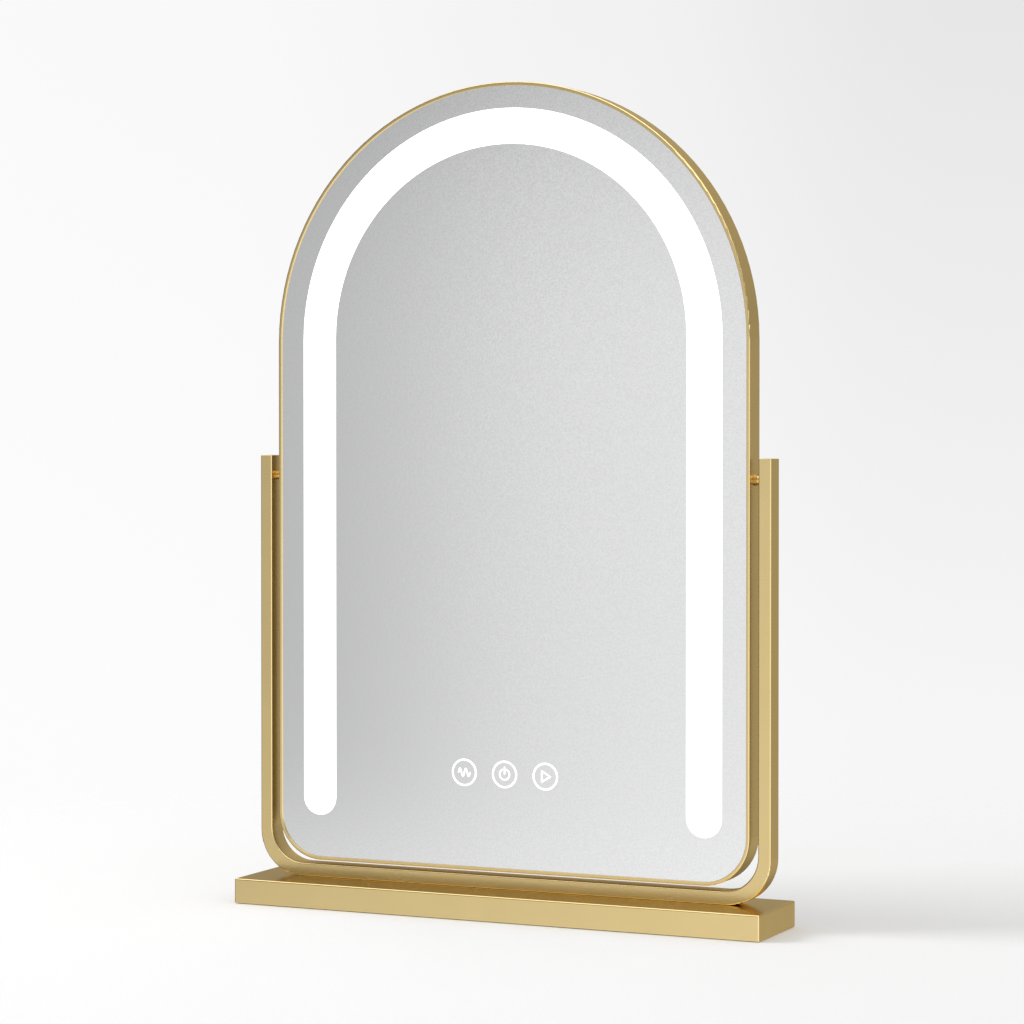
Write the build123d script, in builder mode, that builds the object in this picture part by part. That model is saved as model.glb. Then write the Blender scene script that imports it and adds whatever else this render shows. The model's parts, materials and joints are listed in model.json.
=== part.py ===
"""Lighted vanity mirror: an arched, backlit mirror head hung in a U bracket on a weighted base.

Millimetres. +Z is up, +X to the viewer's right and the mirror faces -Y. The origin is on the
surface it stands on, under the middle of the base.
"""

from build123d import *
import math
import os

os.makedirs("parts", exist_ok=True)

# ---------------------------------------------------------------- driving dimensions

FOOT_PROUD = 0.5  # rubber feet below the base cover's edge

# base
BASE_W = 356.0
BASE_D = 63.5
BASE_H = 15.5
SHEET = 1.2
BASE_EDGE = 0.9

# U bracket of rectangular tube
U_W = 349.4
TUBE_X = 8.2
TUBE_Y = 14.2
TUBE_WALL = 1.2
U_FRONT = -2.8
U_CORNER = 28.5
U_INNER_CORNER = 22.5
UPRIGHT_TOP = 286.0
CAP_T = 1.0

# mirror head
HEAD_W = 322.5
HEAD_TOP = 519.2
HEAD_BOTTOM = 26.9
HEAD_CORNER = 30.0
HEAD_FRONT = -3.3
HEAD_D = 17.3
WALL = 1.5
LIP = 2.3
LIP_T = 0.8
PANE_T = 3.8
PANE_GAP = 0.15

# light band, an inverted U
BAND_OUT = 143.2
BAND_IN = 120.0
BAND_OUT_SPRING = 359.8
BAND_IN_SPRING = 360.8
BAND_LOW = 55.9
INLAY = 0.3

# touch marks, a little left of the middle
MARK_X = -1.5
MARK_Z = 88.0
MARK_PITCH = 27.8
MARK_R = 8.55
MARK_LINE = 1.1
GLYPH_LINE = 0.9

# pivots
PIVOT_Y = 7.3
JOURNAL_R = 2.5
RUNNING_FIT = 0.05
THREAD_R = 2.0
COLLAR_R = 3.0
WASHER_R = 3.5

# screws and the clearances round them
M4 = 2.0
M3 = 1.5
HOLE_FIT = 0.2
SLIDE_FIT = 0.1

# ---------------------------------------------------------------- derived sizes

BACK = (0, 1, 0)

BASE_LOW = FOOT_PROUD
BASE_TOP = FOOT_PROUD + BASE_H
U_BACK = U_FRONT + TUBE_Y
U_MID_Y = (U_FRONT + U_BACK) / 2
BAR_TOP = BASE_TOP + TUBE_X
UPRIGHT_IN = U_W / 2 - TUBE_X
UPRIGHT_MID = U_W / 2 - TUBE_X / 2
CAP_Z = UPRIGHT_TOP - CAP_T
TUBE_CLEAR_X = TUBE_X - 2 * TUBE_WALL
TUBE_CLEAR_Y = TUBE_Y - 2 * TUBE_WALL

HEAD_HALF = HEAD_W / 2
HEAD_SPRING = HEAD_TOP - HEAD_HALF
HEAD_BACK = HEAD_FRONT + HEAD_D
PIVOT_Z = (HEAD_TOP + HEAD_BOTTOM) / 2

PANE_FRONT = HEAD_FRONT + LIP_T
PANE_BACK = PANE_FRONT + PANE_T
TAPE_T = 0.8
TRAY_FRONT = PANE_BACK + TAPE_T
TRAY_T = 1.2
COVER_T = 1.5
SCREW_HEAD = 1.2
COVER_BACK = HEAD_BACK - SCREW_HEAD
COVER_FRONT = COVER_BACK - COVER_T
BAND_MID = (BAND_OUT + BAND_IN) / 2
TROUGH_GAP = 1.6


# ---------------------------------------------------------------- shared helpers


def upright_plane(y):
    """Plane across the depth: its x is +X and its y is +Z."""
    return Plane(origin=(0, y, 0), x_dir=(1, 0, 0), z_dir=(0, -1, 0))


def side_plane(x):
    """Plane across the width: its x is +Y and its y is +Z."""
    return Plane(origin=(x, 0, 0), x_dir=(0, 1, 0), z_dir=(1, 0, 0))


def write(piece, name):
    """Label a finished piece and write it as its own file."""
    piece.part.label = name
    export_step(piece.part, f"parts/{name}.step")


def arch_face(inset, y):
    """The head's outline, drawn inward of the frame's outer surface by inset."""
    half = HEAD_HALF - inset
    low = HEAD_BOTTOM + inset
    with BuildSketch(upright_plane(y)) as face:
        with Locations((0, (low + HEAD_SPRING) / 2)):
            Rectangle(2 * half, HEAD_SPRING - low)
        fillet(face.vertices().group_by(Axis.Y)[0], radius=HEAD_CORNER - inset)
        with Locations((0, HEAD_SPRING)):
            Circle(half)
    return face.sketch


def band_face(spread, y):
    """The light band's outline, an inverted U with round ends, widened all round by spread."""
    outer = BAND_OUT + spread
    inner = BAND_IN - spread
    end_z = BAND_LOW + (BAND_OUT - BAND_IN) / 2
    with BuildSketch(upright_plane(y)) as face:
        with Locations((0, BAND_OUT_SPRING)):
            Circle(outer)
        with Locations((0, (end_z + BAND_OUT_SPRING) / 2)):
            Rectangle(2 * outer, BAND_OUT_SPRING - end_z)
        with Locations((0, BAND_IN_SPRING)):
            Circle(inner, mode=Mode.SUBTRACT)
        with Locations((0, (end_z + BAND_IN_SPRING) / 2)):
            Rectangle(2 * inner, BAND_IN_SPRING - end_z, mode=Mode.SUBTRACT)
        with Locations((-BAND_MID, end_z), (BAND_MID, end_z)):
            Circle((outer - inner) / 2)
    return face.sketch


def cup_face(half, low, top, corner, y):
    """A rectangle from low to top with its two lower corners rounded."""
    with BuildSketch(upright_plane(y)) as face:
        with Locations((0, (low + top) / 2)):
            Rectangle(2 * half, top - low)
        fillet(face.vertices().group_by(Axis.Y)[0], radius=corner)
    return face.sketch


def bracket_face(inset, top, y):
    """The bent tube seen from the front, drawn inside its outer surface by inset."""
    outside = cup_face(U_W / 2 - inset, BASE_TOP + inset, top, U_CORNER - inset, y)
    inside = cup_face(UPRIGHT_IN + inset, BAR_TOP - inset, top, U_INNER_CORNER + inset, y)
    return outside - inside


def pivot_ring(inner, outer, start, end):
    """A ring about the right pivot's axis, from x = start to x = end."""
    with BuildPart() as ring:
        with BuildSketch(side_plane(start)):
            with Locations((PIVOT_Y, PIVOT_Z)):
                Circle(outer)
                Circle(inner, mode=Mode.SUBTRACT)
        extrude(amount=end - start)
    return ring


def write_pair(right, name):
    """Write a pivot piece for the right side and its mirror image for the left."""
    write(right, f"{name}_right")
    with BuildPart() as left:
        mirror(right.part, about=Plane.YZ)
    write(left, f"{name}_left")


def pan_screws(spots, plane, shank_r, shank, head_r, head):
    """Pan head screws that stand on a plane at spots, heads up its normal and shanks down."""
    crown = 0.35 * head
    socket_r = 0.9 * shank_r
    socket_depth = 0.6 * head
    with BuildPart() as screws:
        with BuildSketch(plane):
            with Locations(*spots):
                Circle(shank_r)
        extrude(amount=-shank)
        with BuildSketch(plane):
            with Locations(*spots):
                Circle(head_r)
        extrude(amount=head)
        fillet(screws.edges().filter_by(GeomType.CIRCLE).group_by(Axis(plane.origin, plane.z_dir))[-1],
               radius=crown)
        with BuildSketch(plane.offset(head)):
            with Locations(*spots):
                RegularPolygon(radius=socket_r, side_count=6)
        extrude(amount=-socket_depth, mode=Mode.SUBTRACT)
    return screws


# ---------------------------------------------------------------- base

WEIGHT = (318.0, 50.0, 8.0)
WEIGHT_CORNER = 4.0
WEIGHT_WELL = 2.4
WEIGHT_WELL_R = 3.2
WEIGHT_SCREW_HEAD_R = 2.8
WEIGHT_SCREW_HEAD = 1.6
PLATE_T = 1.2
PLATE_Z = BASE_LOW + 0.2
PLATE_FIT = 0.2
PLATE_CORNER = 1.5
PLATE_SCREW = 5.0
PLATE_SCREW_HEAD_R = 2.6
PLATE_SCREW_HEAD = 0.45
WEIGHT_Z = PLATE_Z + PLATE_T
STIFFENER = (330.0, 54.0, 1.8)
STIFFENER_CORNER = 3.0
STIFFENER_Z = BASE_TOP - SHEET - STIFFENER[2]
NUT_BLOCK_X = 112.0
BRACKET_PITCH = 12.0
BRACKET_WELL_R = 5.0
BRACKET_SPOTS = [
    (side * NUT_BLOCK_X + half * BRACKET_PITCH / 2, U_MID_Y) for side in (-1, 1) for half in (-1, 1)
]
WEIGHT_SPOTS = [(x, y) for x in (-146.0, 0.0, 146.0) for y in (-19.0, 19.0)]
PLATE_SPOTS = [(x, y) for x in (-128.0, -40.0, 40.0, 128.0) for y in (-19.0, 19.0)]
FOOT_SPOTS = [(x, y) for x in (-164.0, 0.0, 164.0) for y in (-20.5, 20.5)]
FOOT_R = 7.0

with BuildPart() as base_cover:
    with BuildSketch(Plane.XY.offset(BASE_LOW)):
        Rectangle(BASE_W, BASE_D)
    extrude(amount=BASE_H)
    fillet(base_cover.edges().filter_by(Axis.Z), radius=BASE_EDGE)
    fillet(base_cover.edges().group_by(Axis.Z)[-1], radius=BASE_EDGE)
    with BuildSketch(Plane.XY.offset(BASE_LOW)):
        Rectangle(BASE_W - 2 * SHEET, BASE_D - 2 * SHEET)
    extrude(amount=BASE_H - SHEET, mode=Mode.SUBTRACT)
    with BuildSketch(Plane.XY.offset(BASE_TOP)):
        with Locations(*BRACKET_SPOTS):
            Circle(M4 + HOLE_FIT)
    extrude(amount=-SHEET, mode=Mode.SUBTRACT)
write(base_cover, "base_cover")

with BuildPart() as base_stiffener:
    with BuildSketch(Plane.XY.offset(STIFFENER_Z)):
        RectangleRounded(STIFFENER[0], STIFFENER[1], STIFFENER_CORNER)
        with Locations(*BRACKET_SPOTS):
            Circle(M4 + HOLE_FIT, mode=Mode.SUBTRACT)
        with Locations(*WEIGHT_SPOTS):
            Circle(M3, mode=Mode.SUBTRACT)
    extrude(amount=STIFFENER[2])
write(base_stiffener, "base_stiffener")

with BuildPart() as base_weight:
    with BuildSketch(Plane.XY.offset(WEIGHT_Z)):
        RectangleRounded(WEIGHT[0], WEIGHT[1], WEIGHT_CORNER)
        with Locations(*BRACKET_SPOTS):
            Circle(BRACKET_WELL_R, mode=Mode.SUBTRACT)
        with Locations(*WEIGHT_SPOTS):
            Circle(M3 + HOLE_FIT, mode=Mode.SUBTRACT)
        with Locations(*PLATE_SPOTS):
            Circle(M3, mode=Mode.SUBTRACT)
    extrude(amount=WEIGHT[2])
    with BuildSketch(Plane.XY.offset(WEIGHT_Z)):
        with Locations(*WEIGHT_SPOTS):
            Circle(WEIGHT_WELL_R)
    extrude(amount=WEIGHT_WELL, mode=Mode.SUBTRACT)
write(base_weight, "base_weight")

with BuildPart() as base_bottom_plate:
    with BuildSketch(Plane.XY.offset(PLATE_Z)):
        rim = 2 * (SHEET + PLATE_FIT)
        RectangleRounded(BASE_W - rim, BASE_D - rim, PLATE_CORNER)
        with Locations(*PLATE_SPOTS):
            Circle(M3 + HOLE_FIT, mode=Mode.SUBTRACT)
    extrude(amount=PLATE_T)
write(base_bottom_plate, "base_bottom_plate")

with BuildPart() as rubber_feet:
    with BuildSketch(Plane.XY):
        with Locations(*FOOT_SPOTS):
            Circle(FOOT_R)
    extrude(amount=PLATE_Z)
write(rubber_feet, "rubber_feet")


def upward_screws(spots, seat_z, shank_r, shank, head_r, head):
    """Screws that go up into the base from below, with their heads under seat_z."""
    below = Plane(origin=(0, 0, seat_z), x_dir=(1, 0, 0), z_dir=(0, 0, -1))
    turned = [(x, -y) for x, y in spots]
    return pan_screws(turned, below, shank_r, shank, head_r, head)


bottom_plate_screws = upward_screws(PLATE_SPOTS, PLATE_Z, M3, PLATE_SCREW, PLATE_SCREW_HEAD_R,
                                    PLATE_SCREW_HEAD)
write(bottom_plate_screws, "bottom_plate_screws")

WEIGHT_SEAT = WEIGHT_Z + WEIGHT_WELL
WEIGHT_SCREW = STIFFENER_Z + STIFFENER[2] - WEIGHT_SEAT - HOLE_FIT
weight_screws = upward_screws(WEIGHT_SPOTS, WEIGHT_SEAT, M3, WEIGHT_SCREW, WEIGHT_SCREW_HEAD_R,
                              WEIGHT_SCREW_HEAD)
write(weight_screws, "weight_screws")

# ---------------------------------------------------------------- U bracket

TUBE_EDGE = 0.8
NUT_BLOCK = (26.0, 11.5, 5.4)
NUT_BLOCK_EDGE = 0.6

with BuildPart() as u_bracket:
    extrude(bracket_face(0, CAP_Z, U_FRONT), amount=TUBE_Y, dir=BACK)
    rims = u_bracket.edges().group_by(Axis.Y)
    along = [edge for edge in rims[0] + rims[-1] if edge.center().Z < CAP_Z - TUBE_EDGE]
    fillet(along, radius=TUBE_EDGE)
    extrude(bracket_face(TUBE_WALL, UPRIGHT_TOP, U_FRONT + TUBE_WALL), amount=TUBE_CLEAR_Y, dir=BACK,
            mode=Mode.SUBTRACT)
    with BuildSketch(Plane.XY.offset(BASE_TOP)):
        with Locations(*BRACKET_SPOTS):
            Circle(M4 + HOLE_FIT)
    extrude(amount=TUBE_WALL, mode=Mode.SUBTRACT)
    with BuildSketch(side_plane(-UPRIGHT_IN - TUBE_WALL)):
        with Locations((PIVOT_Y, PIVOT_Z)):
            Circle(THREAD_R + SLIDE_FIT)
    extrude(amount=2 * (UPRIGHT_IN + TUBE_WALL), mode=Mode.SUBTRACT)
write(u_bracket, "u_bracket")

with BuildPart() as bar_nut_blocks:
    with BuildSketch(Plane.XY.offset(BASE_TOP + TUBE_WALL)):
        with Locations((-NUT_BLOCK_X, U_MID_Y), (NUT_BLOCK_X, U_MID_Y)):
            Rectangle(NUT_BLOCK[0], NUT_BLOCK[1])
        with Locations(*BRACKET_SPOTS):
            Circle(M4, mode=Mode.SUBTRACT)
    extrude(amount=NUT_BLOCK[2])
    chamfer(bar_nut_blocks.edges().filter_by(Axis.Z).filter_by(GeomType.LINE), length=NUT_BLOCK_EDGE)
write(bar_nut_blocks, "bar_nut_blocks")

BRACKET_WASHER_T = 0.8
BRACKET_WASHER_R = 4.4
BRACKET_SEAT = STIFFENER_Z - BRACKET_WASHER_T
with BuildPart() as bracket_washers:
    with BuildSketch(Plane.XY.offset(BRACKET_SEAT)):
        with Locations(*BRACKET_SPOTS):
            Circle(BRACKET_WASHER_R)
            Circle(M4 + HOLE_FIT, mode=Mode.SUBTRACT)
    extrude(amount=BRACKET_WASHER_T)
write(bracket_washers, "bracket_washers")

BRACKET_SCREW_HEAD_R = 3.8
BRACKET_SCREW_HEAD = 2.4
BRACKET_SCREW_BITE = 4.6
BRACKET_SCREW = BASE_TOP + TUBE_WALL + BRACKET_SCREW_BITE - BRACKET_SEAT
bracket_screws = upward_screws(BRACKET_SPOTS, BRACKET_SEAT, M4, BRACKET_SCREW, BRACKET_SCREW_HEAD_R,
                               BRACKET_SCREW_HEAD)
write(bracket_screws, "bracket_screws")

# end cap of an upright: a lid as wide as the tube and a plug that fits inside it
CAP_EDGE = 0.35
PLUG_DEPTH = 5.0
with BuildPart() as upright_cap:
    with BuildSketch(Plane.XY.offset(CAP_Z)):
        with Locations((UPRIGHT_MID, U_MID_Y)):
            RectangleRounded(TUBE_X, TUBE_Y, TUBE_EDGE)
    extrude(amount=CAP_T)
    fillet(upright_cap.edges().group_by(Axis.Z)[-1], radius=CAP_EDGE)
    with BuildSketch(Plane.XY.offset(CAP_Z)):
        with Locations((UPRIGHT_MID, U_MID_Y)):
            Rectangle(TUBE_CLEAR_X - SLIDE_FIT, TUBE_CLEAR_Y - SLIDE_FIT)
    extrude(amount=-PLUG_DEPTH)
write_pair(upright_cap, "upright_cap")

# tapped block inside an upright, which takes the pivot stud
UPRIGHT_NUT_H = 14.0
UPRIGHT_NUT_DROP = 1.0
with BuildPart() as upright_nut:
    with BuildSketch(side_plane(UPRIGHT_IN + TUBE_WALL)):
        with Locations((U_MID_Y, PIVOT_Z - UPRIGHT_NUT_DROP)):
            Rectangle(TUBE_CLEAR_Y - SLIDE_FIT, UPRIGHT_NUT_H)
        with Locations((PIVOT_Y, PIVOT_Z)):
            Circle(THREAD_R, mode=Mode.SUBTRACT)
    extrude(amount=TUBE_CLEAR_X - SLIDE_FIT)
write_pair(upright_nut, "upright_nut")

# ---------------------------------------------------------------- pivots

PIVOT_PLANE = Plane(origin=(0, PIVOT_Y, PIVOT_Z), x_dir=(1, 0, 0), z_dir=(0, -1, 0))
PIVOT_AXIS = Axis((0, PIVOT_Y, PIVOT_Z), (1, 0, 0))

BUSH_FLANGE = 0.6
BUSH_R = 3.1
BLOCK_T = 5.0
BLOCK_W = 7.8
BLOCK_H = 28.0
BLOCK_CORNER = 1.5
STUD_TIP = 0.7
STUD_BITE = 5.8
FRICTION_T = 0.6
FACE_GAP = 0.05
SPRING_H = 1.2
NUT_H = 4.0
BLOCK_IN = HEAD_HALF - WALL - BLOCK_T
FLANGE_OUT = HEAD_HALF + BUSH_FLANGE
COLLAR_IN = FLANGE_OUT + FRICTION_T + 2 * FACE_GAP
SPRING_OUT = BLOCK_IN - FACE_GAP - FRICTION_T
NUT_OUT = SPRING_OUT - SPRING_H
STUD_IN = NUT_OUT - NUT_H - STUD_TIP
STUD_OUT = UPRIGHT_IN + STUD_BITE

# stud: inner thread, journal, collar with two wrench flats, outer thread
STUD_STEPS = [
    (STUD_IN, BLOCK_IN - FACE_GAP, THREAD_R),
    (BLOCK_IN - FACE_GAP, COLLAR_IN, JOURNAL_R),
    (COLLAR_IN, UPRIGHT_IN, COLLAR_R),
    (UPRIGHT_IN, STUD_OUT, THREAD_R),
]
WRENCH_FLAT = 2.6
FLAT_CUT = 2.0
with BuildPart() as pivot_stud:
    with BuildSketch(PIVOT_PLANE):
        for start, end, radius in STUD_STEPS:
            with Locations((start, 0)):
                Rectangle(end - start, radius, align=(Align.MIN, Align.MIN))
    revolve(axis=PIVOT_AXIS)
    with BuildSketch(side_plane(COLLAR_IN)):
        reach = WRENCH_FLAT + FLAT_CUT / 2
        with Locations((PIVOT_Y, PIVOT_Z + reach), (PIVOT_Y, PIVOT_Z - reach)):
            Rectangle(2 * COLLAR_R, FLAT_CUT)
    extrude(amount=UPRIGHT_IN - COLLAR_IN, mode=Mode.SUBTRACT)
write_pair(pivot_stud, "pivot_stud")

with BuildPart() as friction_washers:
    add(pivot_ring(JOURNAL_R + RUNNING_FIT, WASHER_R, FLANGE_OUT + FACE_GAP, COLLAR_IN - FACE_GAP))
    add(pivot_ring(THREAD_R + SLIDE_FIT, WASHER_R, SPRING_OUT, BLOCK_IN - FACE_GAP))
write_pair(friction_washers, "friction_washers")

# two dished spring washers, back to back
DISH = SPRING_H / 2
SPRING_T = 0.35
with BuildPart() as spring_washers:
    with BuildSketch(PIVOT_PLANE):
        for rim, hub in ((0.0, DISH), (SPRING_H, DISH)):
            lean = SPRING_T if hub > rim else -SPRING_T
            with BuildLine():
                Polyline(
                    (NUT_OUT + rim, WASHER_R),
                    (NUT_OUT + rim + lean, WASHER_R),
                    (NUT_OUT + hub, THREAD_R + SLIDE_FIT),
                    (NUT_OUT + hub - lean, THREAD_R + SLIDE_FIT),
                    close=True,
                )
            make_face()
    revolve(axis=PIVOT_AXIS)
write_pair(spring_washers, "spring_washers")

with BuildPart() as lock_nut:
    with BuildSketch(side_plane(NUT_OUT - NUT_H)):
        with Locations((PIVOT_Y, PIVOT_Z)):
            RegularPolygon(radius=WASHER_R, side_count=6)
            Circle(THREAD_R, mode=Mode.SUBTRACT)
    extrude(amount=NUT_H)
write_pair(lock_nut, "lock_nut")

with BuildPart() as pivot_bush:
    add(pivot_ring(JOURNAL_R + RUNNING_FIT, BUSH_R, BLOCK_IN, HEAD_HALF))
    add(pivot_ring(JOURNAL_R + RUNNING_FIT, WASHER_R, HEAD_HALF, FLANGE_OUT))
write_pair(pivot_bush, "pivot_bush")

# countersunk screws that hold the pivot block to the frame, flush with the frame's side
BLOCK_SCREW_DZ = 9.5
CONE_R = 2.7
CONE_H = CONE_R - M3
BLOCK_SCREW_IN = BLOCK_IN + 1.0
with BuildPart() as block_screws:
    for dz in (-BLOCK_SCREW_DZ, BLOCK_SCREW_DZ):
        screw_axis = Axis((0, PIVOT_Y, PIVOT_Z + dz), (1, 0, 0))
        with BuildSketch(PIVOT_PLANE):
            with BuildLine():
                Polyline(
                    (BLOCK_SCREW_IN, dz),
                    (HEAD_HALF, dz),
                    (HEAD_HALF, dz + CONE_R),
                    (HEAD_HALF - CONE_H, dz + M3),
                    (BLOCK_SCREW_IN, dz + M3),
                    close=True,
                )
            make_face()
        revolve(axis=screw_axis)
write_pair(block_screws, "block_screws")

with BuildPart() as pivot_block:
    with BuildSketch(side_plane(BLOCK_IN)):
        with Locations((PIVOT_Y, PIVOT_Z)):
            RectangleRounded(BLOCK_W, BLOCK_H, BLOCK_CORNER)
            Circle(BUSH_R, mode=Mode.SUBTRACT)
    extrude(amount=BLOCK_T)
    add(block_screws.part, mode=Mode.SUBTRACT)
write_pair(pivot_block, "pivot_block")

# ---------------------------------------------------------------- outer frame and what is fixed to it

FRAME_EDGE = 0.8
LIP_EDGE = 0.3
with BuildPart() as outer_frame:
    extrude(arch_face(0, HEAD_FRONT), amount=HEAD_D, dir=BACK)
    fillet(outer_frame.edges().group_by(Axis.Y)[0], radius=FRAME_EDGE)
    fillet(outer_frame.edges().group_by(Axis.Y)[-1], radius=FRAME_EDGE)
    extrude(arch_face(LIP, HEAD_FRONT), amount=LIP_T, dir=BACK, mode=Mode.SUBTRACT)
    fillet(outer_frame.edges(Select.LAST).group_by(Axis.Y)[0], radius=LIP_EDGE)
    extrude(arch_face(WALL, PANE_FRONT), amount=HEAD_D - LIP_T, dir=BACK, mode=Mode.SUBTRACT)
    with BuildSketch(side_plane(-HEAD_HALF)):
        with Locations((PIVOT_Y, PIVOT_Z)):
            Circle(BUSH_R)
    extrude(amount=HEAD_W, mode=Mode.SUBTRACT)
    add(block_screws.part, mode=Mode.SUBTRACT)
    add(block_screws.part.mirror(Plane.YZ), mode=Mode.SUBTRACT)
write(outer_frame, "outer_frame")

# plate across the joint of the bent frame, riveted inside its bottom
SPLICE = (56.0, 8.0, 1.5)
SPLICE_CORNER = 1.0
SPLICE_Y = 6.0
SPLICE_Z = HEAD_BOTTOM + WALL
RIVET_R = 1.4
RIVET_HEAD_R = 2.4
RIVET_HEAD = 0.7
RIVET_SPOTS = [(x, SPLICE_Y) for x in (-21.0, -7.0, 7.0, 21.0)]
with BuildPart() as frame_splice:
    with BuildSketch(Plane.XY.offset(SPLICE_Z)):
        with Locations((0, SPLICE_Y)):
            RectangleRounded(SPLICE[0], SPLICE[1], SPLICE_CORNER)
        with Locations(*RIVET_SPOTS):
            Circle(RIVET_R, mode=Mode.SUBTRACT)
    extrude(amount=SPLICE[2])
write(frame_splice, "frame_splice")

with BuildPart() as splice_rivets:
    with BuildSketch(Plane.XY.offset(SPLICE_Z)):
        with Locations(*RIVET_SPOTS):
            Circle(RIVET_R)
    extrude(amount=SPLICE[2])
    with BuildSketch(Plane.XY.offset(SPLICE_Z + SPLICE[2])):
        with Locations(*RIVET_SPOTS):
            Circle(RIVET_HEAD_R)
    extrude(amount=RIVET_HEAD)
write(splice_rivets, "splice_rivets")

# tabs round the inside of the frame that the back cover screws into; each spot is the tab's
# place on the wall and the angle that turns its own +Y to point inwards
TAB_W = 12.0
TAB_REACH = 10.0
TAB_T = 1.2
TAB_LEG = 7.0
TAB_HOLE = 5.5
TAB_ROOT = 1.0
INNER_HALF = HEAD_HALF - WALL
SIDE_TABS = (110.0, 335.0)
BOTTOM_TABS = (-75.0, 75.0)
ARCH_TABS = (45.0, 90.0, 135.0)

TAB_SPOTS = [(side * INNER_HALF, z, 90.0 * side) for z in SIDE_TABS for side in (-1, 1)]
TAB_SPOTS += [(x, HEAD_BOTTOM + WALL, 0.0) for x in BOTTOM_TABS]
for angle in ARCH_TABS:
    reach = Vector(INNER_HALF, 0).rotate(Axis.Z, angle)
    TAB_SPOTS.append((reach.X, HEAD_SPRING + reach.Y, angle + 90.0))


def tab_locations(inward):
    """The tab spots moved inwards from the wall."""
    spots = []
    for x, z, angle in TAB_SPOTS:
        step = Vector(0, inward).rotate(Axis.Z, angle)
        spots.append(Location((x + step.X, z + step.Y, 0), (0, 0, angle)))
    return spots


COVER_SCREW_SPOTS = [(spot.position.X, spot.position.Y) for spot in tab_locations(TAB_HOLE)]

with BuildPart() as frame_tabs:
    with BuildSketch(upright_plane(COVER_FRONT - TAB_T)):
        with Locations(*tab_locations(-TAB_ROOT)):
            Rectangle(TAB_W, TAB_REACH + TAB_ROOT, align=(Align.CENTER, Align.MIN))
        with Locations(*COVER_SCREW_SPOTS):
            Circle(M3, mode=Mode.SUBTRACT)
    extrude(amount=TAB_T, dir=BACK)
    with BuildSketch(upright_plane(COVER_FRONT - TAB_LEG)):
        with Locations(*tab_locations(-TAB_ROOT)):
            Rectangle(TAB_W, TAB_T + TAB_ROOT, align=(Align.CENTER, Align.MIN))
    extrude(amount=TAB_LEG - TAB_T, dir=BACK)
    extrude(arch_face(WALL, 0), amount=HEAD_BACK, dir=BACK, mode=Mode.INTERSECT)
write(frame_tabs, "frame_tabs")

# ---------------------------------------------------------------- mirror pane, light band and touch marks


def stroke(start, end):
    """One straight line of a symbol, with round ends."""
    run = Vector(*end) - Vector(*start)
    middle = Vector(*start) + run / 2
    with Locations(middle):
        SlotCenterToCenter(run.length, GLYPH_LINE, rotation=math.degrees(math.atan2(run.Y, run.X)))


def draw_path(points):
    """A symbol drawn as one bent line."""
    for start, end in zip(points, points[1:]):
        stroke(start, end)


def draw_wave():
    """Light mode: a ripple."""
    ripple = [(x / 4, 2.4 * math.sin(math.radians(x * 22.5))) for x in range(-16, 17, 2)]
    draw_path(ripple)


def draw_power():
    """Power: an open ring and a bar."""
    Circle(3.8)
    Circle(3.8 - GLYPH_LINE, mode=Mode.SUBTRACT)
    with Locations((0, 3.4)):
        Rectangle(2.6, 2.4, mode=Mode.SUBTRACT)
    stroke((0, 0.4), (0, 4.4))


def draw_triangle():
    """Dimmer: a triangle."""
    draw_path([(-2.4, -3.4), (-2.4, 3.4), (3.4, 0.0), (-2.4, -3.4)])


def mark_face(x, draw_symbol, y):
    """A touch mark: a ring round a symbol."""
    with BuildSketch(upright_plane(y)) as face:
        with Locations((x, MARK_Z)):
            Circle(MARK_R)
            Circle(MARK_R - MARK_LINE, mode=Mode.SUBTRACT)
            draw_symbol()
    return face.sketch


TOUCH_MARKS = {
    "touch_mark_left": mark_face(MARK_X - MARK_PITCH, draw_wave, PANE_FRONT),
    "touch_mark_power": mark_face(MARK_X, draw_power, PANE_FRONT),
    "touch_mark_right": mark_face(MARK_X + MARK_PITCH, draw_triangle, PANE_FRONT),
}

with BuildPart() as mirror_glass:
    extrude(arch_face(WALL + PANE_GAP, PANE_FRONT), amount=PANE_T, dir=BACK)
    extrude(band_face(0, PANE_FRONT), amount=INLAY, dir=BACK, mode=Mode.SUBTRACT)
    for face in TOUCH_MARKS.values():
        extrude(face, amount=INLAY, dir=BACK, mode=Mode.SUBTRACT)
write(mirror_glass, "mirror_glass")

with BuildPart() as frosted_light_band:
    extrude(band_face(0, PANE_FRONT), amount=INLAY, dir=BACK)
write(frosted_light_band, "frosted_light_band")

for name, face in TOUCH_MARKS.items():
    with BuildPart() as touch_mark:
        extrude(face, amount=INLAY, dir=BACK)
    write(touch_mark, name)

TAPE_INSET = 9.0
TAPE_W = 5.0
TAPE_STRIP = (12.0, 260.0)
TAPE_STRIP_X = 70.0
TAPE_STRIP_Z = 270.0
with BuildPart() as pane_tape:
    extrude(arch_face(TAPE_INSET, PANE_BACK) - arch_face(TAPE_INSET + TAPE_W, PANE_BACK),
            amount=TAPE_T, dir=BACK)
    with BuildSketch(upright_plane(PANE_BACK)):
        with Locations((-TAPE_STRIP_X, TAPE_STRIP_Z), (TAPE_STRIP_X, TAPE_STRIP_Z)):
            Rectangle(*TAPE_STRIP)
    extrude(amount=TAPE_T, dir=BACK)
write(pane_tape, "pane_tape")

# ---------------------------------------------------------------- light behind the band

DIFFUSER_SPREAD = 1.0
DIFFUSER_T = 1.2
with BuildPart() as light_diffuser:
    extrude(band_face(DIFFUSER_SPREAD, PANE_BACK), amount=DIFFUSER_T, dir=BACK)
write(light_diffuser, "light_diffuser")

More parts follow.
